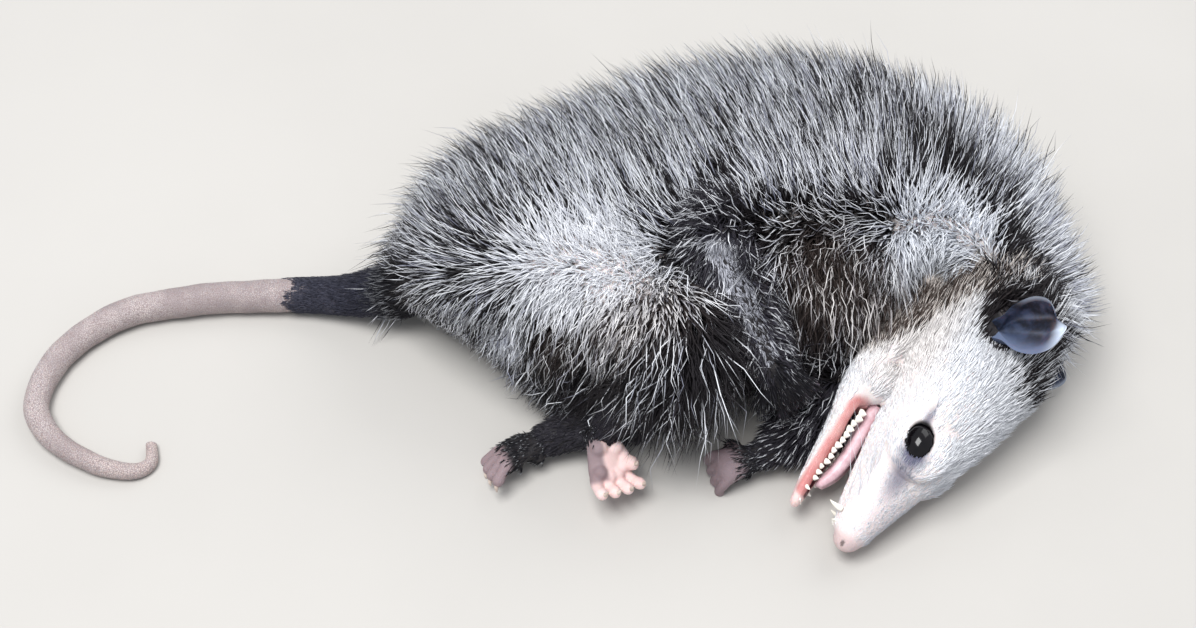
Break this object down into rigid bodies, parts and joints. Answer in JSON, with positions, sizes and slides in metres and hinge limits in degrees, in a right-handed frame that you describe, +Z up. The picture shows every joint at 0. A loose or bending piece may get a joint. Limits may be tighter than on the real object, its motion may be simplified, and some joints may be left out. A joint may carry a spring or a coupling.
{
  "type": "opossum model",
  "caption": "Life-size still model of a Virginia opossum lying on its left side, playing dead with its mouth open and its tail curled.",
  "frame": {"origin": "on the floor, under the middle of the bounding box", "axes": "+Z up; +X along the body from the tail to the head; +Y towards the animal's back, the feet and the snout pointing to -Y"},
  "size_m": [0.4488, 0.214, 0.1185],
  "materials": {
    "grey_coat": "long coarse coat: dark woolly underfur with long white-tipped guard hairs",
    "white_coat": "short dense white fur",
    "black_coat": "short dense black fur",
    "pink_skin": "bare finely creased skin",
    "mouth_skin": "moist smooth skin of lips, gums and tongue",
    "ear_skin": "thin bare leathery skin",
    "tail_skin": "bare skin with rings of fine scales",
    "eye": "wet black",
    "tooth": "smooth enamel",
    "claw": "smooth pale horn"
  },
  "bodies": {
    "root": {"torso": "grey_coat", "neck": "grey_coat", "head": "white_coat", "lower_jaw": "mouth_skin", "tongue": "mouth_skin", "ear_right": "ear_skin", "ear_left": "ear_skin", "eye_right": "eye", "eye_left": "eye", "foreleg_right": "black_coat", "foreleg_left": "black_coat", "forepaw_right": "pink_skin", "forepaw_left": "pink_skin", "hindleg_right": "white_coat", "hindleg_left": "black_coat", "hindfoot_right": "pink_skin", "hindfoot_left": "pink_skin", "tail_base": "black_coat", "tail_middle": "tail_skin", "tail_end": "tail_skin"}
  },
  "joints": []
}
